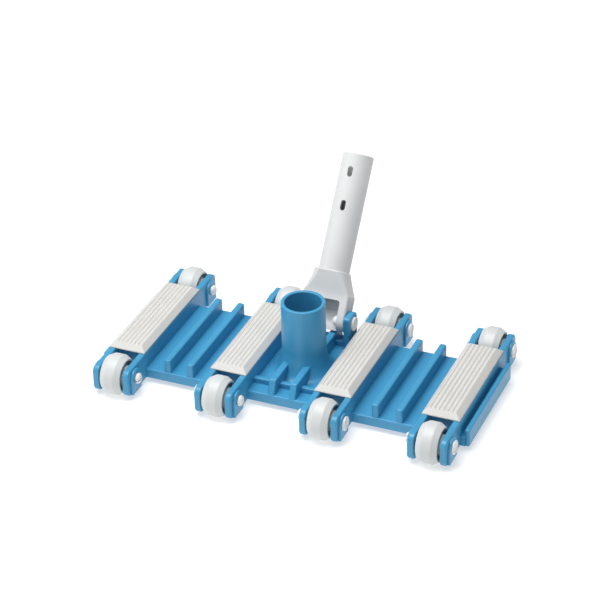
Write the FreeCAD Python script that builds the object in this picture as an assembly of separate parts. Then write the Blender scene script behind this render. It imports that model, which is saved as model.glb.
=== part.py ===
"""Flexible eight-wheel pool vacuum head, written one STEP file per physical piece.

Frame: X across the head, Y towards the rear where the pole leans, Z up.
The origin is on the floor, midway between the front and rear wheels and midway across.
The flexible base is one moulding on the real object. It is written as simpler solids that
meet face to face: four boxes, three webs, two end walls and the hose port.
All lengths are millimetres and all angles degrees.
"""
import FreeCAD, Part
import math
import os

Vector = FreeCAD.Vector

# ---- driving dimensions: layout -------------------------------------------------------------
UNIT_PITCH = 98.0            # spacing of the four weight boxes across the head
AXLE_Y = 79.0                # wheel axles, in front of and behind the middle
WHEEL_RADIUS = 18.2          # the axles are this high above the floor
HINGE_Y = 43.3               # handle hinge, behind the middle
HINGE_Z = 36.8
LEAN = 36.0                  # handle's lean towards the rear, from upright, as stored

# ---- driving dimensions: flexible base ------------------------------------------------------
BOX_HALF = 17.3              # half width of a weight box
BOX_END = 50.0               # outer face of a box's end walls, set back under the cover's ends
BOX_TOP = 29.3
BOX_WALL = 3.0
BOX_FLOOR = (7.0, 9.6)       # underside and top of a box's floor
FORK_PLATE = 6.0             # thickness of the plates beside a wheel
FORK_FRONT = 92.5            # how far the plates reach
FORK_BOTTOM = 4.2
FORK_CORNER = 6.2
PAD_RADIUS = 9.0             # the raised pad around a pin hole
PAD_PROUD = 2.1
PAD_FOOT = 4.5
WEB_TOP = 13.9
WEB_PLATE = 3.0
WEB_END = 57.0               # half length of the webs between the boxes
SKIRT = 3.0
RIB_TOP = 26.6
RIB_WIDTH = 6.4
RIB_SPREAD = 11.1            # rib centre lines, from the middle of a bay
RIB_CORNER = 2.0
RIB_SETBACK = 1.0            # from the webs' edges to the ends of the ribs
END_RIB = (20.6, 25.3)       # end walls, from the middle of the outer boxes
END_RIB_TOP = 20.7
PORT_Y = -3.2
PORT_RADIUS = 19.6
PORT_BORE = 16.3
PORT_TOP = 80.8
FLARE_RADIUS = 31.0
FLARE_TOP = 37.0
FLARE_STEPS = 8
GUSSET_SPREAD = 9.9
GUSSET_FLAT_END = 51.0       # where a gusset's level top ends and its slope starts
GUSSET_TOE = 56.5
CROSS_RIB_Y = 40.5
CROSS_RIB_TOP = 19.0
CROSS_RIB_WIDTH = 5.0
EAR = (22.3, 28.2)           # the two upright ears that hold the handle
EAR_FRONT = 9.8              # from the hinge to an ear's front and rear faces
EAR_REAR = 9.0
EAR_TOP = 46.3
EAR_FRONT_CORNER = 2.5
EAR_REAR_CORNER = 6.0
OVERLAP = 1.0                # how far parts of one moulding run into each other

# ---- driving dimensions: covers, weights, wheels and pins -----------------------------------
COVER_HALF = 17.0
COVER_END = 58.0
COVER_HEIGHT = 5.6
COVER_RIM = 1.0              # upright edge below the bevels
COVER_SIDE_BEVEL = 4.8
COVER_END_BEVEL = 5.2
COVER_SKIN = 2.2
COVER_LIP = 2.0              # how deep the lip plugs into its box
COVER_LIP_GAP = 0.2
COVER_GROOVES = 6
GROOVE_PITCH = 3.95
GROOVE_WIDTH = 2.0
GROOVE_DEPTH = 1.1
WEIGHT_GAP = 0.8             # between a weight and its box's walls
WEIGHT_TOP_GAP = 3.0
WEIGHT_CORNER = 2.0
WHEEL_HALF = 9.6
HUB_HALF = 10.9
HUB_RADIUS = 9.2
RING_RADIUS = 13.4           # the ring-shaped hollow round a hub
RING_DEPTH = 4.6
SHOULDER = [(14.6, WHEEL_HALF), (16.7, 8.1), (WHEEL_RADIUS, 5.0)]   # radius, half width
PIN_RADIUS = 4.4
AXLE_HEAD_RADIUS = 6.3
HINGE_HEAD_RADIUS = 6.6
PIN_HEAD = 1.9
PIN_CHAMFER = 0.5
DISH_RIM = 1.6               # flat rim left round the dish in a pin's head
DISH_DEPTH = 0.6
TIP_RADIUS = 5.2
TIP_BACK = 1.0               # from the plate to the widest part of a pin's tip
TIP_STEPS = 5
AXLE_TIP = 4.2               # how far an axle's tip stands out of the plate
HINGE_TIP = 5.8
TIP_SLIT = 1.2
SLIT_DEPTH = 9.0
RUNNING_GAP = 0.08           # radial gap between a pin and what turns on it
END_GAP = 0.2                # end play between the yoke's arm and the hinge pin's tip
SEAT_GAP = 0.05              # radial gap between a pin and the hole it is snapped into

# ---- driving dimensions: handle -------------------------------------------------------------
TUBE_RADIUS = 14.1
TUBE_BORE = 11.0
TUBE_TOP = 149.3             # lengths along the handle are measured from the hinge
BORE_FOOT = 45.0
NECK_HALF = 15.6
NECK_TOP = 43.0              # where the neck ends in a step round the tube
NECK_FRONT_CORNER = 8.0
NECK_REAR_CORNER = 15.5
YOKE_HALF = 21.9
YOKE_SHOULDER = 22.0
YOKE_DEPTH = 9.8             # half depth of the yoke, front to back
YOKE_CORNER = 3.0
ARM_INSIDE = 14.3
ARM_END_RADIUS = 9.5
WINDOW_TOP = 17.4
WINDOW_CORNER = 3.0
BACK_WALL = 3.2
BACK_WALL_STEP = (9.6, 1.9)  # below this height the wall is this thin
BACK_WALL_TURN = 41.0        # how far the wall curls below the hinge
CURL_STEPS = 6
SLOTS = (101.3, 132.2)
SLOT_WIDTH = 4.8
SLOT_LENGTH = 9.6

UNIT_X = [UNIT_PITCH * (i - 1.5) for i in range(4)]
BAY_X = [UNIT_PITCH * (i - 1) for i in range(3)]
BAY_HALF = UNIT_PITCH / 2 - BOX_HALF


def box(x_span, y_span, z_span):
    """A block between two values along each axis."""
    low = Vector(min(x_span), min(y_span), min(z_span))
    high = Vector(max(x_span), max(y_span), max(z_span))
    size = high - low
    return Part.makeBox(size.x, size.y, size.z, low)


def cylinder(radius, start, end):
    """A round bar from one point to another."""
    axis = end - start
    return Part.makeCylinder(radius, axis.Length, start, axis)


def across(radius, x_span, y, z):
    """A round bar along X."""
    return cylinder(radius, Vector(min(x_span), y, z), Vector(max(x_span), y, z))


def side_plate(profile, x_span):
    """A plate with a closed YZ outline, as thick as its span along X."""
    low, high = min(x_span), max(x_span)
    corners = [Vector(low, y, z) for y, z in profile]
    wire = Part.makePolygon(corners + [corners[0]])
    return Part.Face(wire).extrude(Vector(high - low, 0, 0))


def turned(profile, sweep=360):
    """A solid of revolution about Z from a closed outline of (radius, z) points."""
    corners = [Vector(r, 0, z) for r, z in profile]
    wire = Part.makePolygon(corners + [corners[0]])
    return Part.Face(wire).revolve(Vector(0, 0, 0), Vector(0, 0, 1), sweep)


def fused(shapes):
    """One solid from overlapping ones."""
    return shapes[0].multiFuse(shapes[1:]).removeSplitter()


def rounded(shape, radius, wanted):
    """Round the edges whose centre passes the test."""
    edges = [edge for edge in shape.Edges if wanted(edge)]
    return shape.makeFillet(radius, edges)


def is_along(edge, direction):
    """True for a straight edge parallel to the direction."""
    if not isinstance(edge.Curve, Part.Line):
        return False
    return abs(abs(edge.Curve.Direction.dot(direction)) - 1) < 1e-6


def mirrored_y(shape):
    """The same shape on the other side, front to rear."""
    return shape.mirror(Vector(0, 0, 0), Vector(0, 1, 0))


# ---- flexible base --------------------------------------------------------------------------
def fork_plate(centre, side):
    """One plate beside a front wheel, with the pad around the pin hole on its outer face."""
    outer = centre + side * BOX_HALF
    plate = box((outer - side * FORK_PLATE, outer), (-FORK_FRONT, -BOX_END + BOX_WALL),
                (FORK_BOTTOM, BOX_TOP))
    plate = rounded(plate, FORK_CORNER, lambda edge: is_along(edge, Vector(1, 0, 0))
                    and edge.CenterOfMass.y < -FORK_FRONT + OVERLAP)
    thickness = (outer - side * OVERLAP, outer + side * PAD_PROUD)
    pad = across(PAD_RADIUS, thickness, -AXLE_Y, WHEEL_RADIUS)
    foot = box(thickness, (-AXLE_Y - PAD_RADIUS, -AXLE_Y + PAD_RADIUS), (PAD_FOOT, WHEEL_RADIUS))
    return plate.fuse([pad, foot])


def weight_box(centre):
    """An open-topped box with a wheel fork at each end."""
    outside = box((centre - BOX_HALF, centre + BOX_HALF), (-BOX_END, BOX_END),
                  (BOX_FLOOR[0], BOX_TOP))
    hollow = BOX_HALF - BOX_WALL
    inside = box((centre - hollow, centre + hollow), (-BOX_END + BOX_WALL, BOX_END - BOX_WALL),
                 (BOX_FLOOR[1], BOX_TOP + OVERLAP))
    plates = [fork_plate(centre, side) for side in (-1, 1)]
    shape = fused([outside.cut(inside)] + plates + [mirrored_y(plate) for plate in plates])
    reach = BOX_HALF + PAD_PROUD + OVERLAP
    return shape.cut([across(PIN_RADIUS + SEAT_GAP, (centre - reach, centre + reach), y,
                             WHEEL_RADIUS) for y in (-AXLE_Y, AXLE_Y)])


def round_top_wall(x_span, z_span):
    """A wall along the whole depth of a bay, with round top corners at its two ends."""
    end = WEB_END - RIB_SETBACK
    wall = box(x_span, (-end, end), z_span)
    return rounded(wall, RIB_CORNER, lambda edge: is_along(edge, Vector(1, 0, 0))
                   and edge.CenterOfMass.z > max(z_span) - OVERLAP)


def long_rib(x):
    """A tall rib along a bay."""
    return round_top_wall((x - RIB_WIDTH / 2, x + RIB_WIDTH / 2), (WEB_TOP - OVERLAP, RIB_TOP))


def web(x_span):
    """A thin web open below, with a skirt along its front and rear edges."""
    plate = box(x_span, (-WEB_END, WEB_END), (WEB_TOP - WEB_PLATE, WEB_TOP))
    front = box(x_span, (-WEB_END, -WEB_END + SKIRT), (FORK_BOTTOM, WEB_TOP))
    return [plate, front, mirrored_y(front)]


def outer_web(centre):
    """The web of an outer bay, with its two tall ribs."""
    ribs = [long_rib(centre + side * RIB_SPREAD) for side in (-1, 1)]
    return fused(web((centre - BAY_HALF, centre + BAY_HALF)) + ribs)


def end_wall(side):
    """The low wall outside an outer box, joined to it by a narrow web."""
    centre = side * UNIT_X[3]
    inner, outer = (centre + side * reach for reach in END_RIB)
    wall = round_top_wall((inner, outer), (FORK_BOTTOM, END_RIB_TOP))
    return fused([wall] + web((centre + side * BOX_HALF, inner + side * OVERLAP)))


def gusset(x):
    """A rib from the port's foot to the front edge, level and then steeply sloped."""
    profile = [(PORT_Y, WEB_TOP - OVERLAP), (PORT_Y, RIB_TOP), (-GUSSET_FLAT_END, RIB_TOP),
               (-GUSSET_TOE, WEB_TOP), (-GUSSET_TOE, WEB_TOP - OVERLAP)]
    return side_plate(profile, (x - RIB_WIDTH / 2, x + RIB_WIDTH / 2))


def cross_rib(y):
    """The low rib across the middle bay, from box to box."""
    return box((-BAY_HALF, BAY_HALF), (y - CROSS_RIB_WIDTH / 2, y + CROSS_RIB_WIDTH / 2),
               (WEB_TOP - OVERLAP, CROSS_RIB_TOP))


def port():
    """The outside of the upright hose port, on its funnel-shaped foot."""
    flare = []
    for step in range(FLARE_STEPS + 1):
        turn = math.radians(90 * step / FLARE_STEPS)
        flare.append((FLARE_RADIUS - (FLARE_RADIUS - PORT_RADIUS) * math.sin(turn),
                      FLARE_TOP - (FLARE_TOP - WEB_TOP) * math.cos(turn)))
    profile = [(0, WEB_TOP - WEB_PLATE), (PORT_RADIUS, WEB_TOP - WEB_PLATE),
               (PORT_RADIUS, WEB_TOP)] + flare
    profile += [(PORT_RADIUS, PORT_TOP), (0, PORT_TOP)]
    shape = turned(profile)
    shape.translate(Vector(0, PORT_Y, 0))
    return shape


def ear(side):
    """One upright ear of the handle's hinge."""
    plate = box((side * EAR[0], side * EAR[1]), (HINGE_Y - EAR_FRONT, HINGE_Y + EAR_REAR),
                (WEB_TOP - OVERLAP, EAR_TOP))
    for corner, end in ((EAR_FRONT_CORNER, -1), (EAR_REAR_CORNER, 1)):
        plate = rounded(plate, corner, lambda edge: is_along(edge, Vector(1, 0, 0))
                        and edge.CenterOfMass.z > EAR_TOP - OVERLAP
                        and (edge.CenterOfMass.y - HINGE_Y) * end > EAR_REAR - OVERLAP)
    return plate


def middle_web():
    """The web round the hose port, with its gussets, cross ribs and the handle's ears."""
    solids = web((-BAY_HALF, BAY_HALF))
    for side in (-1, 1):
        front = gusset(side * GUSSET_SPREAD)
        solids += [front, mirrored_y(front), ear(side), cross_rib(side * CROSS_RIB_Y)]
    hinge_hole = across(PIN_RADIUS + SEAT_GAP, (-EAR[1] - OVERLAP, EAR[1] + OVERLAP), HINGE_Y,
                        HINGE_Z)
    return fused(solids).cut([port(), hinge_hole])


def hose_port():
    """The hose port with its bore, which opens into the chamber under the web."""
    return port().cut(cylinder(PORT_BORE, Vector(0, PORT_Y, 0),
                               Vector(0, PORT_Y, PORT_TOP + OVERLAP)))


# ---- covers and weights ---------------------------------------------------------------------
def rectangle(half_x, half_y, z):
    """A closed rectangular wire at a height."""
    corners = [Vector(sx * half_x, sy * half_y, z)
               for sx, sy in ((-1, -1), (1, -1), (1, 1), (-1, 1))]
    return Part.makePolygon(corners + [corners[0]])


def weight_cover(centre):
    """A bevelled lid with fine lengthwise grooves and a lip that plugs into the box."""
    rim_top = BOX_TOP + COVER_RIM
    top = BOX_TOP + COVER_HEIGHT
    half = COVER_HALF - COVER_SIDE_BEVEL
    end = COVER_END - COVER_END_BEVEL
    rim = box((-COVER_HALF, COVER_HALF), (-COVER_END, COVER_END), (BOX_TOP, rim_top))
    bevelled = Part.makeLoft([rectangle(COVER_HALF, COVER_END, rim_top),
                              rectangle(half, end, top)], True, True)
    lip_half = BOX_HALF - BOX_WALL - COVER_LIP_GAP
    lip_end = BOX_END - BOX_WALL - COVER_LIP_GAP
    lip = box((-lip_half, lip_half), (-lip_end, lip_end), (BOX_TOP - COVER_LIP, rim_top))
    hollow_half = lip_half - COVER_SKIN
    hollow_end = lip_end - COVER_SKIN
    hollow = box((-hollow_half, hollow_half), (-hollow_end, hollow_end),
                 (BOX_TOP - COVER_LIP - OVERLAP, top - COVER_SKIN - GROOVE_DEPTH))
    cuts = [hollow]
    for line in range(COVER_GROOVES):
        x = (line - (COVER_GROOVES - 1) / 2) * GROOVE_PITCH
        cuts.append(box((x - GROOVE_WIDTH / 2, x + GROOVE_WIDTH / 2), (-COVER_END, COVER_END),
                        (top - GROOVE_DEPTH, top + OVERLAP)))
    shell = fused([rim, bevelled, lip]).cut(cuts)
    shell.translate(Vector(centre, 0, 0))
    return shell


def weight(centre):
    """The cast block sealed inside a box."""
    half = BOX_HALF - BOX_WALL - WEIGHT_GAP
    end = BOX_END - BOX_WALL - WEIGHT_GAP
    block = box((centre - half, centre + half), (-end, end),
                (BOX_FLOOR[1], BOX_TOP - WEIGHT_TOP_GAP))
    return rounded(block, WEIGHT_CORNER, lambda edge: is_along(edge, Vector(0, 0, 1)))


# ---- wheels and pins ------------------------------------------------------------------------
def wheel(centre, y):
    """A wheel with a flat tread, sloped shoulders and a ring-shaped hollow round its hub."""
    floor = WHEEL_HALF - RING_DEPTH
    side = [(PIN_RADIUS + RUNNING_GAP, HUB_HALF), (HUB_RADIUS, HUB_HALF), (HUB_RADIUS, floor),
            (RING_RADIUS, floor), (RING_RADIUS, WHEEL_HALF)] + SHOULDER
    other = [(radius, -reach) for radius, reach in reversed(side)]
    shape = turned(side + other)
    shape.rotate(Vector(0, 0, 0), Vector(0, 1, 0), 90)
    shape.translate(Vector(centre, y, WHEEL_RADIUS))
    return shape


def snap_pin(shank, head_radius, tip):
    """A plastic pin along +X: a dished flat head at one end and a split domed tip at the other.

    The middle of its shank is at the origin, and the tip stands out of the shank's end.
    """
    dome = []
    for step in range(TIP_STEPS):
        turn = math.radians(90 * step / TIP_STEPS)
        dome.append((TIP_RADIUS * math.cos(turn),
                     shank + TIP_BACK + (tip - TIP_BACK) * math.sin(turn)))
    dish = head_radius - DISH_RIM
    outline = [(0, shank + tip)] + dome[::-1]
    outline += [(PIN_RADIUS, shank), (PIN_RADIUS, 0), (head_radius, 0),
                (head_radius, -PIN_HEAD + PIN_CHAMFER), (head_radius - PIN_CHAMFER, -PIN_HEAD),
                (dish, -PIN_HEAD), (dish - DISH_DEPTH, -PIN_HEAD + DISH_DEPTH),
                (0, -PIN_HEAD + DISH_DEPTH)]
    slit = box((-TIP_SLIT / 2, TIP_SLIT / 2), (-TIP_RADIUS - OVERLAP, TIP_RADIUS + OVERLAP),
               (shank + tip - SLIT_DEPTH, shank + tip + OVERLAP))
    pin = turned(outline).cut(slit)
    pin.rotate(Vector(0, 0, 0), Vector(0, 1, 0), 90)
    pin.translate(Vector(-shank / 2, 0, 0))
    return pin


def placed_pin(pin, centre, y, z, head_side):
    """Put a pin on its axis, with its head on the given side."""
    shape = pin.copy()
    if head_side > 0:
        shape.rotate(Vector(0, 0, 0), Vector(0, 0, 1), 180)
    shape.translate(Vector(centre, y, z))
    return shape


# ---- handle ---------------------------------------------------------------------------------
def section(half_x, half_y, front_corner, rear_corner, z):
    """A closed rounded-rectangle wire at a height."""
    shape = box((-half_x, half_x), (-half_y, half_y), (z, z + OVERLAP))
    for corner, end in ((front_corner, -1), (rear_corner, 1)):
        shape = rounded(shape, corner, lambda edge: is_along(edge, Vector(0, 0, 1))
                        and edge.CenterOfMass.y * end > half_y - 0.01)
    face = min(shape.Faces, key=lambda item: item.CenterOfMass.z)
    return face.OuterWire


def arm_gap():
    """What is cut out between the arms below the step in the back wall, as a YZ outline.

    It leaves a thin wall behind the hinge, which curls under it.
    """
    step_height, thickness = BACK_WALL_STEP
    reach = YOKE_DEPTH - thickness
    outline = [(-YOKE_DEPTH - OVERLAP, step_height), (reach, step_height)]
    for step in range(CURL_STEPS + 1):
        turn = math.radians(BACK_WALL_TURN * step / CURL_STEPS)
        outline.append((reach * math.cos(turn), -reach * math.sin(turn)))
    beyond = ARM_END_RADIUS + OVERLAP
    turn = math.radians(BACK_WALL_TURN)
    outline += [(beyond * math.cos(turn), -beyond * math.sin(turn)),
                (beyond * math.cos(turn), -beyond), (-YOKE_DEPTH - OVERLAP, -beyond)]
    return outline


def handle():
    """The hollow tube, its neck and the two-armed yoke, as one moulding."""
    tube = cylinder(TUBE_RADIUS, Vector(0, 0, NECK_TOP - OVERLAP), Vector(0, 0, TUBE_TOP))
    neck = Part.makeLoft([section(YOKE_HALF, YOKE_DEPTH, YOKE_CORNER, YOKE_CORNER,
                                  YOKE_SHOULDER),
                          section(NECK_HALF, NECK_HALF, NECK_FRONT_CORNER, NECK_REAR_CORNER,
                                  NECK_TOP)], True, True)
    ends = across(ARM_END_RADIUS, (-YOKE_HALF, YOKE_HALF), 0, 0)
    taper = [(-ARM_END_RADIUS, 0), (ARM_END_RADIUS, 0), (YOKE_DEPTH, YOKE_SHOULDER),
             (-YOKE_DEPTH, YOKE_SHOULDER)]
    arms = side_plate(taper, (-YOKE_HALF, YOKE_HALF))
    body = fused([tube, neck, arms, ends])
    inside = (-ARM_INSIDE, ARM_INSIDE)
    window = box(inside, (-NECK_HALF - OVERLAP, YOKE_DEPTH - BACK_WALL), (0, WINDOW_TOP))
    window = rounded(window, WINDOW_CORNER, lambda edge: is_along(edge, Vector(0, 1, 0))
                     and edge.CenterOfMass.z > WINDOW_TOP - OVERLAP)
    bore = cylinder(TUBE_BORE, Vector(0, 0, BORE_FOOT), Vector(0, 0, TUBE_TOP + OVERLAP))
    pivot = across(PIN_RADIUS + RUNNING_GAP, (-YOKE_HALF - OVERLAP, YOKE_HALF + OVERLAP), 0, 0)
    cuts = [window, side_plate(arm_gap(), inside), bore, pivot]
    for height in SLOTS:
        slot = box((-SLOT_WIDTH / 2, SLOT_WIDTH / 2),
                   (-TUBE_RADIUS - OVERLAP, TUBE_RADIUS + OVERLAP),
                   (height - SLOT_LENGTH / 2, height + SLOT_LENGTH / 2))
        cuts.append(rounded(slot, SLOT_WIDTH / 2 - SEAT_GAP,
                            lambda edge: is_along(edge, Vector(0, 1, 0))))
    shape = body.cut(cuts).removeSplitter()
    shape.rotate(Vector(0, 0, 0), Vector(1, 0, 0), -LEAN)
    shape.translate(Vector(0, HINGE_Y, HINGE_Z))
    return shape


# ---- every piece ----------------------------------------------------------------------------
def pieces():
    """Each node's name and shape."""
    found = {"hose_port": hose_port(), "base_web_left": outer_web(BAY_X[0]),
             "base_web_middle": middle_web(), "base_web_right": outer_web(BAY_X[2]),
             "base_end_left": end_wall(-1), "base_end_right": end_wall(1)}
    axle = snap_pin(2 * (BOX_HALF + PAD_PROUD), AXLE_HEAD_RADIUS, AXLE_TIP)
    for number, centre in enumerate(UNIT_X, start=1):
        found[f"base_box_{number}"] = weight_box(centre)
        found[f"weight_cover_{number}"] = weight_cover(centre)
        found[f"weight_{number}"] = weight(centre)
        for end, y in (("front", -AXLE_Y), ("rear", AXLE_Y)):
            found[f"wheel_{end}_{number}"] = wheel(centre, y)
            found[f"axle_{end}_{number}"] = placed_pin(axle, centre, y, WHEEL_RADIUS,
                                                       math.copysign(1, centre))
    found["handle"] = handle()
    tip_seat = ARM_INSIDE - END_GAP
    hinge_pin = snap_pin(EAR[1] - tip_seat, HINGE_HEAD_RADIUS, HINGE_TIP)
    for side, name in ((-1, "handle_pin_left"), (1, "handle_pin_right")):
        found[name] = placed_pin(hinge_pin, side * (EAR[1] + tip_seat) / 2, HINGE_Y, HINGE_Z,
                                 side)
    return found


os.makedirs("parts", exist_ok=True)
for node, solid in pieces().items():
    solid.exportStep(f"parts/{node}.step")
    box_of = solid.BoundBox
    print(f"{node}: valid {solid.isValid()}, solids {len(solid.Solids)}, {solid.Volume:.0f} mm3,"
          f" X {box_of.XMin:.1f}..{box_of.XMax:.1f}, Y {box_of.YMin:.1f}..{box_of.YMax:.1f},"
          f" Z {box_of.ZMin:.1f}..{box_of.ZMax:.1f}")
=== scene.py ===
import math

import bpy
from mathutils import Matrix, Vector


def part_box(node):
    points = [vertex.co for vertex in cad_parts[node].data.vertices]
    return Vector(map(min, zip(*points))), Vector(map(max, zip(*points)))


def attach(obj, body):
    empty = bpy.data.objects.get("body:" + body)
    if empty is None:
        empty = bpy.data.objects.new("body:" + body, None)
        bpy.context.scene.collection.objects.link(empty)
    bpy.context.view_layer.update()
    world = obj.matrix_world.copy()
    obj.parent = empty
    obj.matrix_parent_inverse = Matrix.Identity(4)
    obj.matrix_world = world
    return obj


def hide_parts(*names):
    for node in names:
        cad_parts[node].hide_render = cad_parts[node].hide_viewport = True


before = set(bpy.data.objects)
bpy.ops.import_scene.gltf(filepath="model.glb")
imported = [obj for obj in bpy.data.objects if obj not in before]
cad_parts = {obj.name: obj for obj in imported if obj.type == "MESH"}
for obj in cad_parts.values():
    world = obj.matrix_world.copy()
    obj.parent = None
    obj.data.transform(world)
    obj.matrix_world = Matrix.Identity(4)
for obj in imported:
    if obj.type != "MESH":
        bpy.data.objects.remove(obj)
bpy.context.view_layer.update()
mm = 0.001

# ---- Flexible base -----------------------------------------------------------------------------
# One flexible blue moulding: four weight boxes with a wheel fork at each end, thin webs between
# them, stiffening ribs, the upright hose port and two ears for the handle. It comes out of one
# mould, so every outer edge is soft, and its parts run into each other without a seam.
base_nodes = [f"base_box_{number}" for number in (1, 2, 3, 4)]
base_nodes += ["base_web_left", "base_web_middle", "base_web_right", "base_end_left"]
base_nodes += ["base_end_right", "hose_port"]
box_low, box_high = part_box("base_box_1")
lids = [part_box(f"weight_cover_{number}") for number in (1, 2, 3, 4)]
tyres = [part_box(f"wheel_front_{number}") for number in (1, 2, 3, 4)]
unit_places = [(low.x + high.x) / 2 for low, high in lids]
unit_pitch = unit_places[1] - unit_places[0]
bay_places = [(left + right) / 2 for left, right in zip(unit_places, unit_places[1:])]
axle_height = (tyres[0][0].z + tyres[0][1].z) / 2
axle_depth = -(tyres[0][0].y + tyres[0][1].y) / 2

box_half = 17.3 * mm
box_end = 50.0 * mm
box_top = lids[0][1].z - 5.6 * mm
box_wall = 3.0 * mm
box_underside = 7.0 * mm
box_floor = 9.6 * mm
plate_thickness = 6.0 * mm
plate_foot = box_low.z
plate_front = box_high.y
plate_corner = 6.2 * mm
pad_radius = 9.0 * mm
pad_proud = 2.1 * mm
pad_foot = 4.5 * mm
pin_hole = 4.45 * mm
web_top = 13.9 * mm
web_thickness = 3.0 * mm
web_end = 57.0 * mm
skirt_thickness = 3.0 * mm
rib_top = 26.6 * mm
rib_width = 6.4 * mm
rib_spread = 11.1 * mm
rib_corner = 2.0 * mm
end_wall_top = 20.7 * mm
end_wall_thickness = 4.7 * mm
port_place = Vector((0.0, -3.2 * mm, 0.0))
port_radius = 19.6 * mm
port_bore = 16.3 * mm
port_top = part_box("hose_port")[1].z
flare_radius = 31.0 * mm
flare_top = 37.0 * mm
gusset_spread = 9.9 * mm
gusset_level_end = 51.0 * mm
gusset_toe = 56.5 * mm
cross_rib_place = 40.5 * mm
cross_rib_top = 19.0 * mm
cross_rib_width = 5.0 * mm
ear_inside = 22.3 * mm
ear_outside = 28.2 * mm
ear_front = 9.8 * mm
ear_rear = 9.0 * mm
ear_top = 46.3 * mm
ear_front_corner = 2.5 * mm
ear_rear_corner = 6.0 * mm
hinge_low, hinge_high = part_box("handle_pin_right")
hinge = Vector((0.0, (hinge_low.y + hinge_high.y) / 2, (hinge_low.z + hinge_high.z) / 2))
overlap = 1.0 * mm
near = 0.1 * mm
core_inset = 2.0 * mm
beyond_box = box_half + 3.0 * mm
plate_edge = 1.3 * mm
pad_edge = 1.1 * mm
web_lift = 0.2 * mm
web_edge = 1.3 * mm
rib_edge = 1.5 * mm
end_wall_edge = 1.4 * mm
gusset_root = 15.7 * mm
gusset_edge = 1.1 * mm
gusset_sink = 2.4 * mm
cross_rib_sink = 1.3 * mm
ear_edge = 0.9 * mm
ear_sink = 1.6 * mm
weld = 0.002 * mm
crisp = 25
square = 50


def work_on(piece):
    """Make one piece the only selected one, and the active one."""
    bpy.ops.object.select_all(action="DESELECT")
    piece.select_set(True)
    bpy.context.view_layer.objects.active = piece


def set_down(piece):
    """Leave a piece's object at the origin, unturned and unscaled, with its place in its mesh."""
    work_on(piece)
    bpy.ops.object.transform_apply(location=True, rotation=True, scale=True)
    return piece


def block(x_span, y_span, z_span):
    """A rectangular block between two values along each axis."""
    spans = [sorted(span) for span in (x_span, y_span, z_span)]
    bpy.ops.object.select_all(action="DESELECT")
    bpy.ops.mesh.primitive_cube_add(size=1, location=[sum(span) / 2 for span in spans])
    piece = bpy.context.object
    piece.scale = [high - low for low, high in spans]
    return set_down(piece)


def bar(radius, start, end, sides=48):
    """A round bar from one point to another."""
    run = end - start
    bpy.ops.object.select_all(action="DESELECT")
    bpy.ops.mesh.primitive_cylinder_add(vertices=sides, radius=radius, depth=run.length,
                                        location=(start + end) / 2,
                                        rotation=run.to_track_quat("Z", "Y").to_euler())
    return set_down(bpy.context.object)


def pick_edges(piece, wanted):
    """Open a piece in edit mode with the edges whose two ends pass the test selected."""
    work_on(piece)
    bpy.ops.object.mode_set(mode="EDIT")
    bpy.ops.mesh.select_mode(type="EDGE")
    bpy.ops.mesh.select_all(action="DESELECT")
    bpy.ops.object.mode_set(mode="OBJECT")
    spots = piece.data.vertices
    for edge in piece.data.edges:
        edge.select = wanted(spots[edge.vertices[0]].co, spots[edge.vertices[1]].co)
    bpy.ops.object.mode_set(mode="EDIT")


def pick_points(piece, wanted):
    """Open a piece in edit mode with the points that pass the test selected."""
    work_on(piece)
    bpy.ops.object.mode_set(mode="EDIT")
    bpy.ops.mesh.select_mode(type="VERT")
    bpy.ops.mesh.select_all(action="DESELECT")
    bpy.ops.object.mode_set(mode="OBJECT")
    for point in piece.data.vertices:
        point.select = wanted(point.co)
    bpy.ops.object.mode_set(mode="EDIT")


def round_edges(piece, size, steps, wanted):
    """Round the edges whose two ends pass the test."""
    pick_edges(piece, wanted)
    bpy.ops.mesh.bevel(offset=size, segments=steps, affect="EDGES", clamp_overlap=True)
    bpy.ops.object.mode_set(mode="OBJECT")
    return piece


def soften(piece, size, steps=3, turn=30):
    """Round every edge at which the surface turns by more than an angle in degrees."""
    bevel = piece.modifiers.new("soft edges", "BEVEL")
    bevel.width = size
    bevel.segments = steps
    bevel.limit_method = "ANGLE"
    bevel.angle_limit = math.radians(turn)
    work_on(piece)
    bpy.ops.object.modifier_apply(modifier=bevel.name)
    return piece


def copied(piece, shift=(0, 0, 0), mirror=(1, 1, 1)):
    """A copy with its own mesh, mirrored about the origin and then shifted."""
    work_on(piece)
    bpy.ops.object.duplicate()
    twin = bpy.context.object
    twin.scale = mirror
    twin.location = shift
    set_down(twin)
    if math.prod(mirror) < 0:
        bpy.ops.object.mode_set(mode="EDIT")
        bpy.ops.mesh.select_all(action="SELECT")
        bpy.ops.mesh.normals_make_consistent(inside=False)
        bpy.ops.object.mode_set(mode="OBJECT")
    return twin


def combine(piece, others, operation="UNION"):
    """Melt other solids into a piece, or cut them out of it, one after another."""
    for other in others:
        merge = piece.modifiers.new("merge", "BOOLEAN")
        merge.operation = operation
        merge.object = other
        merge.solver = "EXACT"
        work_on(piece)
        bpy.ops.object.modifier_apply(modifier=merge.name)
        bpy.data.objects.remove(other)
    return piece


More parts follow.
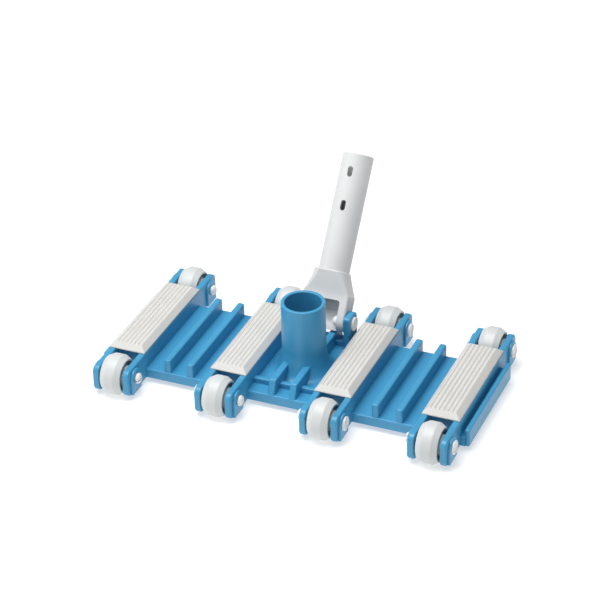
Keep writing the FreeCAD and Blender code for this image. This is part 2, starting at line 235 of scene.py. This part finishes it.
def spun(outline, steps=64):
    """Turn a closed outline of (radius, height) points about the Z axis."""
    bpy.ops.object.select_all(action="DESELECT")
    bpy.ops.mesh.primitive_circle_add(vertices=len(outline), radius=1)
    piece = bpy.context.object
    for point, (radius, height) in zip(piece.data.vertices, outline):
        point.co = (radius, 0, height)
    bpy.ops.object.mode_set(mode="EDIT")
    bpy.ops.mesh.select_all(action="SELECT")
    bpy.ops.mesh.spin(steps=steps, angle=math.tau, center=(0, 0, 0), axis=(0, 0, 1))
    bpy.ops.mesh.select_all(action="SELECT")
    bpy.ops.mesh.remove_doubles(threshold=weld)
    bpy.ops.mesh.delete_loose()
    bpy.ops.mesh.select_all(action="SELECT")
    bpy.ops.mesh.normals_make_consistent(inside=False)
    bpy.ops.object.mode_set(mode="OBJECT")
    return piece


def arc(middle, radius, start, end, steps):
    """Points along an arc in an outline, its angles in degrees from the outward direction."""
    turns = [math.radians(start + (end - start) * step / steps) for step in range(steps + 1)]
    return [(middle[0] + radius * math.cos(turn), middle[1] + radius * math.sin(turn))
            for turn in turns]


def slab(outline, x_span):
    """A slab across the head from a closed outline of (depth, height) points."""
    low, high = min(x_span), max(x_span)
    bpy.ops.object.select_all(action="DESELECT")
    bpy.ops.mesh.primitive_circle_add(vertices=len(outline), radius=1, fill_type="NGON")
    piece = bpy.context.object
    for point, (depth, height) in zip(piece.data.vertices, outline):
        point.co = (low, depth, height)
    bpy.ops.object.mode_set(mode="EDIT")
    bpy.ops.mesh.select_all(action="SELECT")
    bpy.ops.mesh.extrude_region_move(TRANSFORM_OT_translate={"value": (high - low, 0, 0)})
    bpy.ops.mesh.select_all(action="SELECT")
    bpy.ops.mesh.normals_make_consistent(inside=False)
    bpy.ops.object.mode_set(mode="OBJECT")
    return piece


def smooth(piece, turn=32):
    """Shade a finished piece smoothly, except across its sharp edges."""
    work_on(piece)
    bpy.ops.object.shade_smooth_by_angle(angle=math.radians(turn))
    weigh = piece.modifiers.new("flat faces stay flat", "WEIGHTED_NORMAL")
    weigh.keep_sharp = True
    bpy.ops.object.modifier_apply(modifier=weigh.name)
    return piece


def fork_side(side):
    """The long side of a box, whose two ends are the plates beside the wheels."""
    face = side * box_half
    plate = block((face - side * plate_thickness, face), (-plate_front, plate_front),
                  (plate_foot, box_top))
    round_edges(plate, plate_corner, 7, lambda a, b: abs(a.y - b.y) < near
                and abs(a.z - b.z) < near)
    soften(plate, plate_edge, 4, turn=square)
    pads = []
    for end in (-1, 1):
        middle = (end * axle_depth, axle_height)
        outline = arc(middle, pad_radius, 0, 180, 28)
        outline += [(middle[0] - pad_radius, pad_foot), (middle[0] + pad_radius, pad_foot)]
        pad = slab(outline, (face - side * overlap, face + side * pad_proud))
        pads.append(soften(pad, pad_edge, 4, turn=square))
    return combine(plate, pads)


left_side, right_side = fork_side(-1), fork_side(1)
core = block((-box_half + core_inset, box_half - core_inset), (-box_end, box_end),
             (box_underside - near, box_top - near))
unit = combine(core, [left_side, right_side])
hollow_half = box_half - box_wall
hollow = block((-hollow_half, hollow_half), (-box_end + box_wall, box_end - box_wall),
               (box_floor, box_top + overlap))
relief = block((-beyond_box, beyond_box), (-box_end + box_wall, box_end - box_wall),
               (0, box_underside))
holes = [bar(pin_hole, Vector((-beyond_box, y, axle_height)), Vector((beyond_box, y, axle_height)))
         for y in (-axle_depth, axle_depth)]
combine(unit, [hollow, relief] + holes, "DIFFERENCE")
units = [copied(unit, (place, 0, 0)) for place in unit_places]
bpy.data.objects.remove(unit)


def web(x_span):
    """A thin web with rounded front and rear edges and a skirt below each of them."""
    channel = block(x_span, (-web_end, web_end), (plate_foot + web_lift, web_top))
    round_edges(channel, web_edge, 5, lambda a, b: abs(a.x - b.x) > near)
    chamber = block((min(x_span) - overlap, max(x_span) + overlap),
                    (-web_end + skirt_thickness, web_end - skirt_thickness),
                    (0, web_top - web_thickness))
    return combine(channel, [chamber], "DIFFERENCE")


def round_wall(x_span, z_span, softness):
    """A wall along a bay, with round upright corners at its ends and soft edges all round."""
    end = web_end - overlap
    wall = block(x_span, (-end, end), z_span)
    round_edges(wall, rib_corner, 6, lambda a, b: abs(a.z - b.z) > near)
    return soften(wall, softness, 4, turn=square)


def gusset(x, root, end):
    """A rib from the port's foot towards the front or rear edge, level and then sloped."""
    foot = web_top - gusset_sink
    outline = [(root, foot), (root, rib_top), (end * gusset_level_end, rib_top),
               (end * gusset_toe, web_top), (end * gusset_toe, foot)]
    rib = slab(outline, (x - rib_width / 2, x + rib_width / 2))
    return soften(rib, gusset_edge, 4, turn=crisp)


def ear(side):
    """One upright ear of the handle's hinge, square at its front and round at its rear."""
    front, rear = hinge.y - ear_front, hinge.y + ear_rear
    foot = web_top - ear_sink
    outline = [(front, foot)]
    outline += arc((front + ear_front_corner, ear_top - ear_front_corner), ear_front_corner,
                   180, 90, 6)
    outline += arc((rear - ear_rear_corner, ear_top - ear_rear_corner), ear_rear_corner,
                   90, 0, 10)
    outline += [(rear, foot)]
    return soften(slab(outline, (side * ear_inside, side * ear_outside)), ear_edge, 4, turn=square)


solids = []
bay_reach = unit_pitch / 2 - box_half + overlap
for place in bay_places:
    channel = web((place - bay_reach, place + bay_reach))
    solids.append(channel)
    if abs(place) < unit_pitch / 2:
        opening = bar(port_radius + overlap, port_place, port_place + Vector((0, 0, port_top)), 96)
        combine(channel, [opening], "DIFFERENCE")
    else:
        solids += [round_wall((x - rib_width / 2, x + rib_width / 2),
                              (web_top - overlap, rib_top), rib_edge)
                   for x in (place - rib_spread, place + rib_spread)]
for side in (-1, 1):
    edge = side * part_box("base_end_right")[1].x
    inner = edge - side * end_wall_thickness
    solids.append(web((side * (unit_places[3] + box_half - overlap), inner + side * overlap)))
    solids.append(round_wall((inner, edge), (plate_foot, end_wall_top), end_wall_edge))
    solids.append(gusset(side * gusset_spread, port_place.y - gusset_root, -1))
    solids.append(gusset(side * gusset_spread, port_place.y + gusset_root, 1))
    cross_rib = block((-bay_reach, bay_reach),
                      (side * cross_rib_place - cross_rib_width / 2,
                       side * cross_rib_place + cross_rib_width / 2),
                      (web_top - cross_rib_sink, cross_rib_top))
    solids.append(soften(cross_rib, gusset_edge, 3))
    solids.append(ear(side))

rim = 0.9 * mm
flare = [(flare_radius - (flare_radius - port_radius) * math.sin(turn),
          flare_top - (flare_top - web_top) * math.cos(turn))
         for turn in (math.radians(90 * step / 14) for step in range(15))]
lip = arc((port_radius - rim, port_top - rim), rim, 0, 90, 5)
mouth = arc((port_bore + rim, port_top - rim), rim, 90, 180, 5)
port_foot = web_top - web_thickness + web_lift
solids.append(spun([(port_bore, port_foot), (flare_radius, port_foot)] + flare + lip + mouth, 96))
set_down(solids[-1]).data.transform(Matrix.Translation(port_place))

base = combine(units[0], units[1:] + solids)
hinge_hole = bar(pin_hole, hinge - Vector((ear_outside + overlap, 0, 0)),
                 hinge + Vector((ear_outside + overlap, 0, 0)))
combine(base, [hinge_hole], "DIFFERENCE")
smooth(base)
base.name = "base_moulding"


def plastic(name, colour, shade, roughness, grain, relief_depth):
    """Moulded plastic: cloudy colour, uneven gloss and a fine grain from the mould."""
    cloud_scale, scuff_scale, grain_height = 28, 140, 0.1 * mm
    made = bpy.data.materials.new(name)
    made.use_nodes = True
    nodes, links = made.node_tree.nodes, made.node_tree.links
    surface = nodes["Principled BSDF"]
    place = nodes.new("ShaderNodeTexCoord").outputs["Object"]

    cloud = nodes.new("ShaderNodeTexNoise")
    cloud.inputs["Scale"].default_value = cloud_scale
    cloud.inputs["Detail"].default_value = 4
    links.new(place, cloud.inputs["Vector"])
    tint = nodes.new("ShaderNodeValToRGB")
    tint.color_ramp.elements[0].position = 0.3
    tint.color_ramp.elements[0].color = (*shade, 1)
    tint.color_ramp.elements[1].position = 0.7
    tint.color_ramp.elements[1].color = (*colour, 1)
    links.new(cloud.outputs["Fac"], tint.inputs["Fac"])
    links.new(tint.outputs["Color"], surface.inputs["Base Color"])

    scuff = nodes.new("ShaderNodeTexNoise")
    scuff.inputs["Scale"].default_value = scuff_scale
    scuff.inputs["Detail"].default_value = 6
    links.new(place, scuff.inputs["Vector"])
    gloss = nodes.new("ShaderNodeMapRange")
    gloss.inputs["To Min"].default_value = roughness[0]
    gloss.inputs["To Max"].default_value = roughness[1]
    links.new(scuff.outputs["Fac"], gloss.inputs["Value"])
    links.new(gloss.outputs["Result"], surface.inputs["Roughness"])

    fine = nodes.new("ShaderNodeTexNoise")
    fine.inputs["Scale"].default_value = grain
    fine.inputs["Detail"].default_value = 3
    links.new(place, fine.inputs["Vector"])
    bump = nodes.new("ShaderNodeBump")
    bump.inputs["Strength"].default_value = relief_depth
    bump.inputs["Distance"].default_value = grain_height
    links.new(fine.outputs["Fac"], bump.inputs["Height"])
    links.new(bump.outputs["Normal"], surface.inputs["Normal"])
    return made


blue = plastic("blue moulded vinyl", colour=(0.051, 0.302, 0.525), shade=(0.045, 0.278, 0.49),
               roughness=(0.31, 0.41), grain=1600, relief_depth=0.25)
base.data.materials.clear()
base.data.materials.append(blue)
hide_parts(*base_nodes)
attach(base, "base")

# ---- Cast weights ------------------------------------------------------------------------------
# A cast iron block sealed in each box under its cover, which keeps the head on the pool floor.
# They are carried over as they are, with the finish of a rough sand casting.
iron = plastic("sand-cast iron", colour=(0.10, 0.10, 0.10), shade=(0.06, 0.06, 0.062),
               roughness=(0.55, 0.8), grain=420, relief_depth=0.9)
iron.node_tree.nodes["Principled BSDF"].inputs["Metallic"].default_value = 0.7
for number in (1, 2, 3, 4):
    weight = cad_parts[f"weight_{number}"]
    weight.data.materials.clear()
    weight.data.materials.append(iron)

# ---- Covers ------------------------------------------------------------------------------------
# Four off-white lids, bevelled all round, with fine lengthwise grooves in their tops. Each is
# pressed into its box by a lip underneath and closed over the weight.
cover_half = 17.0 * mm
cover_end = 58.0 * mm
cover_rim = 1.0 * mm
cover_side_bevel = 4.8 * mm
cover_end_bevel = 5.2 * mm
groove_count = 6
groove_pitch = 3.95 * mm
groove_radius = 1.45 * mm
groove_depth = 0.8 * mm
cover_top = lids[0][1].z
cover_edge = 0.45 * mm
lip_gap = 0.2 * mm
lip_depth = 2.0 * mm
lip_root = 0.5 * mm
cover_skin = 2.2 * mm


def pressed_cover():
    """A cover about the middle of the head, in the height of its box."""
    lid = block((-cover_half, cover_half), (-cover_end, cover_end), (box_top, box_top + cover_rim))
    pick_points(lid, lambda spot: spot.z > box_top + cover_rim / 2)
    bpy.ops.mesh.select_mode(type="FACE")
    bpy.ops.mesh.extrude_region_move(
        TRANSFORM_OT_translate={"value": (0, 0, cover_top - box_top - cover_rim)})
    across, along = 1 - cover_side_bevel / cover_half, 1 - cover_end_bevel / cover_end
    bpy.ops.transform.resize(value=(across, along, 1), center_override=(0, 0, cover_top))
    bpy.ops.object.mode_set(mode="OBJECT")
    soften(lid, cover_edge, 3, turn=crisp)
    grooves = []
    for line in range(groove_count):
        x = (line - (groove_count - 1) / 2) * groove_pitch
        height = cover_top - groove_depth + groove_radius
        grooves.append(bar(groove_radius, Vector((x, -cover_end, height)),
                           Vector((x, cover_end, height)), 32))
    combine(lid, grooves, "DIFFERENCE")
    lip_half, lip_end = hollow_half - lip_gap, box_end - box_wall - lip_gap
    lip = block((-lip_half, lip_half), (-lip_end, lip_end), (box_top - lip_depth, box_top + lip_root))
    combine(lid, [lip])
    inside_half, inside_end = lip_half - cover_skin, lip_end - cover_skin
    inside = block((-inside_half, inside_half), (-inside_end, inside_end),
                   (box_top - lip_depth - overlap, cover_top - groove_depth - cover_skin))
    return combine(lid, [inside], "DIFFERENCE")


ivory = plastic("off-white moulded plastic", colour=(0.62, 0.615, 0.592),
                shade=(0.588, 0.58, 0.553), roughness=(0.42, 0.52), grain=1400, relief_depth=0.2)
pattern = pressed_cover()
for number, place in enumerate(unit_places, start=1):
    cover = smooth(copied(pattern, (place, 0, 0)))
    cover.name = f"cover_{number}"
    cover.data.materials.clear()
    cover.data.materials.append(ivory)
    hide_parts(f"weight_cover_{number}")
    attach(cover, "base")
bpy.data.objects.remove(pattern)

# ---- Wheels ------------------------------------------------------------------------------------
# Eight pale grey wheels with a flat tread, sloped shoulders and a deep ring-shaped hollow
# round the hub on both faces. Each is one moulding and turns on its pin between the fork's plates.
wheel_radius = axle_height
wheel_half = 9.6 * mm
hub_half = 10.9 * mm
hub_radius = 9.0 * mm
wheel_bore = 4.48 * mm
tread_half = 4.9 * mm
tread_crown = 0.1 * mm
shoulder_radius = 0.9 * mm
shoulder_inset = 3.5 * mm
ring_radius = 13.4 * mm
ring_depth = 4.6 * mm
ring_edge = 0.6 * mm
ring_draft = 0.2 * mm
rim_edge = 0.4 * mm
rim_inset = 0.5 * mm
bore_edge = 0.3 * mm
hub_edge = 0.5 * mm
tread_edge = ((0.50 * mm, 0.20 * mm), (0.24 * mm, -0.15 * mm), (0.13 * mm, -0.55 * mm))


def turned_wheel():
    """A wheel about the X axis at the origin."""
    face = [(wheel_bore, hub_half - bore_edge), (wheel_bore + bore_edge, hub_half)]
    face += arc((hub_radius - hub_edge, hub_half - hub_edge), hub_edge, 90, 0, 4)
    corner = wheel_half - ring_depth + ring_edge
    face += arc((hub_radius + 2 * ring_edge, corner), ring_edge, 180, 270, 4)
    face += arc((ring_radius - ring_edge - ring_draft, corner), ring_edge, 270, 360, 4)
    face += arc((ring_radius + rim_inset, wheel_half - rim_edge), rim_edge, 180, 90, 4)
    face += arc((wheel_radius - shoulder_inset, wheel_half - shoulder_radius), shoulder_radius,
                90, 38, 5)
    face += [(wheel_radius - drop, tread_half + outward) for drop, outward in tread_edge]
    face += [(wheel_radius - tread_crown * share ** 2, tread_half * share)
             for share in (0.8, 0.4)]
    back = [(radius, -height) for radius, height in reversed(face)]
    wheel = spun(face + [(wheel_radius, 0)] + back, 72)
    wheel.rotation_euler = (0, math.radians(90), 0)
    return set_down(wheel)


tyre_grey = plastic("pale grey wheel plastic", colour=(0.60, 0.625, 0.622),
                    shade=(0.568, 0.592, 0.59), roughness=(0.34, 0.46), grain=1500,
                    relief_depth=0.2)
pattern = turned_wheel()
for number, place in enumerate(unit_places, start=1):
    for end, y in (("front", -axle_depth), ("rear", axle_depth)):
        wheel = smooth(copied(pattern, (place, y, axle_height)))
        wheel.name = f"roller_{end}_{number}"
        wheel.data.materials.clear()
        wheel.data.materials.append(tyre_grey)
        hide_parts(f"wheel_{end}_{number}")
        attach(wheel, f"wheel_{end}_{number}")
bpy.data.objects.remove(pattern)

# ---- Snap pins ---------------------------------------------------------------------------------
# White plastic pins: a dished flat head at one end and a split domed tip at the other, which
# closes as it is pushed through its hole and springs open beyond it. Eight are axles and two
# shorter ones are the handle's hinge.
pin_radius = 4.4 * mm
axle_head = 6.3 * mm
hinge_head = 6.4 * mm
head_thickness = 1.9 * mm
dish_rim = 1.7 * mm
dish_depth = 0.6 * mm
tip_radius = 4.9 * mm
axle_tip = 4.2 * mm
hinge_tip = 5.8 * mm
slit_width = 1.2 * mm
slit_depth = 9.0 * mm
head_edge = 0.6 * mm
head_back_edge = 0.15 * mm
dish_edge = 0.5 * mm
barb_lead = 0.3 * mm
barb_neck = 0.05 * mm
barb_end = 0.9 * mm
dome_foot = 1.2 * mm


def snap_pin(shank, head_radius, tip_length):
    """A pin about the X axis, its head's inner face at the origin and its tip towards +X."""
    top = -head_thickness
    dish_radius = head_radius - dish_rim
    outline = [(0, top + dish_depth), (dish_radius - dish_edge, top + dish_depth),
               (dish_radius, top + dish_edge / 2), (dish_radius + dish_edge / 2, top)]
    outline += arc((head_radius - head_edge, top + head_edge), head_edge, 270, 360, 5)
    outline += [(head_radius, -head_back_edge), (head_radius - head_back_edge, 0),
                (pin_radius, 0), (pin_radius, shank - barb_lead),
                (pin_radius - near, shank + barb_neck), (tip_radius, shank + barb_end)]
    dome = tip_length - dome_foot
    outline += [(tip_radius * math.cos(turn), shank + dome_foot + dome * math.sin(turn))
                for turn in (math.radians(90 * step / 8) for step in range(9))]
    pin = spun(outline, 48)
    pin.rotation_euler = (0, math.radians(90), 0)
    set_down(pin)
    end = shank + tip_length
    slit = block((end - slit_depth, end + overlap), (-tip_radius - overlap, tip_radius + overlap),
                 (-slit_width / 2, slit_width / 2))
    combine(pin, [slit], "DIFFERENCE")
    return pin


nylon = plastic("white nylon", colour=(0.80, 0.80, 0.785), shade=(0.765, 0.76, 0.735),
                roughness=(0.3, 0.4), grain=1300, relief_depth=0.15)


def place_pin(pattern, node, name, side, slant):
    """Put a copy of a pin where its node is, its head on one side and its slit at a slant."""
    low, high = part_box(node)
    middle = (low + high) / 2
    head_face = low.x + head_thickness if side < 0 else high.x - head_thickness
    pin = copied(pattern, (0, 0, 0))
    pin.rotation_euler = (math.radians(slant), 0, 0 if side < 0 else math.pi)
    pin.location = (head_face, middle.y, middle.z)
    smooth(set_down(pin))
    pin.name = name
    pin.data.materials.clear()
    pin.data.materials.append(nylon)
    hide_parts(node)
    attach(pin, "base")


slants = (8, 74, -35, 50)
pattern = snap_pin(2 * (box_half + pad_proud), axle_head, axle_tip)
for number, place in enumerate(unit_places, start=1):
    for end, turned_by in (("front", 0), ("rear", 60)):
        place_pin(pattern, f"axle_{end}_{number}", f"axle_pin_{end}_{number}",
                  math.copysign(1, place), slants[number - 1] + turned_by)
bpy.data.objects.remove(pattern)
pattern = snap_pin(hinge_high.x - hinge_low.x - head_thickness - hinge_tip, hinge_head, hinge_tip)
place_pin(pattern, "handle_pin_left", "hinge_pin_left", -1, 20)
place_pin(pattern, "handle_pin_right", "hinge_pin_right", 1, 90)
bpy.data.objects.remove(pattern)

# ---- Handle ------------------------------------------------------------------------------------
# One light grey moulding: a hollow tube that plugs into a telescopic pole, a collar step, and a
# yoke that spreads to two arms with a window between them. It tilts on the two hinge pins. It is
# modelled upright about the hinge and then leant back.
lean = math.radians(36)
tube_radius = 14.1 * mm
tube_bore = 11.0 * mm
tube_top = 149.3 * mm
bore_foot = 45.0 * mm
neck_half = 15.6 * mm
neck_top = 43.0 * mm
neck_rim = 1.1 * mm
neck_front_corner = 8.5 * mm
neck_rear_corner = 15.4 * mm
yoke_half = 21.9 * mm
yoke_shoulder = 22.0 * mm
yoke_depth = 9.75 * mm
yoke_corner = 1.7 * mm
arm_inside = 14.8 * mm
arm_end_radius = 9.45 * mm
window_top = 17.4 * mm
back_wall = 4.2 * mm
back_wall_step = 9.6 * mm
back_wall_thin = 1.9 * mm
back_wall_turn = 90
slot_heights = (101.3 * mm, 132.2 * mm)
slot_width = 4.8 * mm
slot_length = 9.6 * mm
tube_edge = 0.8 * mm
tube_root = neck_top - 5.0 * mm
window_corner = 3.0 * mm
hinge_bore = 4.48 * mm
shoulder_blend = 4.0 * mm
waist_curve = 1.6
yoke_levels = (38, 33, 28, 26, 24, 22, 20, 18, 14, 7)


def ring_at(height, half_x, half_y, front_corner, rear_corner):
    """A closed ring at a height: a rectangle with its own corner radius at front and rear."""
    steps = 9
    bpy.ops.object.select_all(action="DESELECT")
    bpy.ops.mesh.primitive_circle_add(vertices=4 * (steps + 1), radius=1)
    ring = bpy.context.object
    corners = ((1, 1, rear_corner), (-1, 1, rear_corner), (-1, -1, front_corner),
               (1, -1, front_corner))
    spots = []
    for quarter, (right_left, rear_front, corner) in enumerate(corners):
        corner = min(corner, half_y - 0.01 * mm)
        middle = (right_left * (half_x - corner), rear_front * (half_y - corner))
        spots += arc(middle, corner, 90 * quarter, 90 * quarter + 90, steps)
    for point, (x, y) in zip(ring.data.vertices, spots):
        point.co = (x, y, height)
    return ring


def yoke_body():
    """The solid neck, shoulders and arms' outside in one loft, from the step round the tube."""
    rings = []
    for turn in (math.radians(degrees) for degrees in range(0, 91, 30)):
        inset = neck_rim * (1 - math.cos(turn))
        rings.append(ring_at(neck_top - neck_rim * (1 - math.sin(turn)), neck_half - inset,
                             neck_half - inset, neck_front_corner - inset,
                             neck_rear_corner - inset))
    rings.reverse()
    fall = neck_top - neck_rim - yoke_shoulder
    for height in yoke_levels:
        share = max(0.0, (height * mm - yoke_shoulder) / fall)
        lift = (height * mm - yoke_shoulder) / shoulder_blend
        bend = 0.25 * (1 + lift) ** 2 if abs(lift) < 1 else max(0.0, lift)
        half_y = yoke_depth + (neck_half - yoke_depth) * bend * shoulder_blend / fall
        waist = 1 - (1 - share) ** waist_curve
        rings.append(ring_at(height * mm, yoke_half + (neck_half - yoke_half) * waist, half_y,
                             yoke_corner + (neck_front_corner - yoke_corner) * share,
                             yoke_corner + (neck_rear_corner - yoke_corner) * share ** 2))
    for turn in (math.radians(degrees) for degrees in range(0, 85, 7)):
        half_y = arm_end_radius * math.cos(turn)
        rings.append(ring_at(-arm_end_radius * math.sin(turn), yoke_half, half_y,
                             yoke_corner, yoke_corner))
    work_on(rings[0])
    for ring in rings:
        ring.select_set(True)
    bpy.ops.object.join()
    body = bpy.context.object
    bpy.ops.object.mode_set(mode="EDIT")
    bpy.ops.mesh.select_mode(type="EDGE")
    bpy.ops.mesh.select_all(action="SELECT")
    bpy.ops.mesh.bridge_edge_loops()
    bpy.ops.mesh.select_all(action="DESELECT")
    bpy.ops.mesh.select_non_manifold(extend=False)
    bpy.ops.mesh.fill_holes(sides=0)
    bpy.ops.mesh.select_all(action="SELECT")
    bpy.ops.mesh.normals_make_consistent(inside=False)
    bpy.ops.object.mode_set(mode="OBJECT")
    return body


def arm_gap():
    """What is cut out between the arms below the step in the back wall, which curls under."""
    front = -neck_half - overlap
    reach = yoke_depth - back_wall_thin
    end = math.radians(-back_wall_turn)
    beyond = arm_end_radius + overlap
    outline = [(front, back_wall_step), (reach, back_wall_step)]
    outline += arc((0, 0), reach, 0, -back_wall_turn, 12)
    outline += [(beyond * math.cos(end), beyond * math.sin(end)),
                (beyond * math.cos(end), -beyond), (front, -beyond)]
    return slab(outline, (-arm_inside, arm_inside))


def pole_handle():
    """The handle, upright about its hinge."""
    outline = [(tube_bore, bore_foot), (0, bore_foot), (0, tube_root), (tube_radius, tube_root)]
    outline += arc((tube_radius - tube_edge, tube_top - tube_edge), tube_edge, 0, 90, 5)
    outline += arc((tube_bore + tube_edge, tube_top - tube_edge), tube_edge, 90, 180, 5)
    body = combine(yoke_body(), [spun(outline, 80)])
    window = block((-arm_inside, arm_inside), (-neck_half - overlap, yoke_depth - back_wall),
                   (0, window_top))
    round_edges(window, window_corner, 5,
                lambda a, b: abs(a.y - b.y) > near and min(a.z, b.z) > near)
    cuts = [window, arm_gap()]
    for height in slot_heights:
        opening = block((-slot_width / 2, slot_width / 2), (-tube_radius - overlap,
                        tube_radius + overlap), (height - slot_length / 2, height + slot_length / 2))
        cuts.append(round_edges(opening, slot_width / 2 - 0.02 * mm, 6,
                                lambda a, b: abs(a.y - b.y) > near))
    cuts.append(bar(hinge_bore, Vector((-yoke_half - overlap, 0, 0)),
                    Vector((yoke_half + overlap, 0, 0))))
    return combine(body, cuts, "DIFFERENCE")


handle = pole_handle()
handle.rotation_euler = (-lean, 0, 0)
handle.location = hinge
smooth(set_down(handle), 15)
handle.name = "pole_socket"
handle_grey = plastic("light grey moulded plastic", colour=(0.62, 0.63, 0.63),
                      shade=(0.588, 0.598, 0.598), roughness=(0.38, 0.5), grain=1400,
                      relief_depth=0.2)
handle.data.materials.clear()
handle.data.materials.append(handle_grey)
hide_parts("handle")
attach(handle, "handle")

# ---- Floor, light and camera -------------------------------------------------------------------
# A plain pale floor that glows a little, a broad soft lamp overhead, a weak one from the left,
# a dim white studio and a long lens.
bpy.ops.object.select_all(action="DESELECT")
bpy.ops.mesh.primitive_plane_add(size=40, location=(0, 0, 0))
floor = bpy.context.object
floor.name = "floor"
paper = bpy.data.materials.new("white paper")
paper.use_nodes = True
coat = paper.node_tree.nodes["Principled BSDF"]
coat.inputs["Base Color"].default_value = (0.58, 0.58, 0.58, 1)
coat.inputs["Roughness"].default_value = 0.9
coat.inputs["Emission Color"].default_value = (1, 1, 1, 1)
coat.inputs["Emission Strength"].default_value = 0.52
floor.data.materials.append(paper)


def soft_lamp(name, spot, aim, size, power):
    """A square area lamp aimed at a point."""
    lamp = bpy.data.lights.new(name, "AREA")
    lamp.shape = "SQUARE"
    lamp.size = size
    lamp.energy = power
    holder = bpy.data.objects.new(name, lamp)
    bpy.context.scene.collection.objects.link(holder)
    holder.location = spot
    holder.rotation_euler = (Vector(aim) - Vector(spot)).to_track_quat("-Z", "Y").to_euler()


soft_lamp("overhead softbox", (-0.22, -0.2, 1.5), (0, 0, 0), 1.15, 27)
soft_lamp("left lamp", (-1.6, -0.9, 0.7), (0, 0, 0.02), 0.9, 7)

world = bpy.data.worlds.new("studio")
world.use_nodes = True
studio = world.node_tree.nodes["Background"]
studio.inputs["Color"].default_value = (1, 1, 1, 1)
studio.inputs["Strength"].default_value = 0.3
bpy.context.scene.world = world
bpy.context.scene.view_settings.view_transform = "Standard"

turn, tilt, roll = (math.radians(angle) for angle in (23.54, 31.65, -1.53))
distance = 2.15618
aim = Vector((-0.05579, 0.11851, 0.0))
back = Vector((math.sin(turn) * math.cos(tilt), -math.cos(turn) * math.cos(tilt), math.sin(tilt)))
right = Vector((math.cos(turn), math.sin(turn), 0))
up = back.cross(right)
rolled_right = right * math.cos(roll) + up * math.sin(roll)
rolled_up = up * math.cos(roll) - right * math.sin(roll)
lens = bpy.data.cameras.new("camera")
lens.lens = 138
lens.sensor_width = 36
lens.clip_end = 60
camera = bpy.data.objects.new("camera", lens)
bpy.context.scene.collection.objects.link(camera)
axes = Matrix((rolled_right, rolled_up, back)).transposed().to_4x4()
camera.matrix_world = Matrix.Translation(aim + back * distance) @ axes
bpy.context.scene.camera = camera
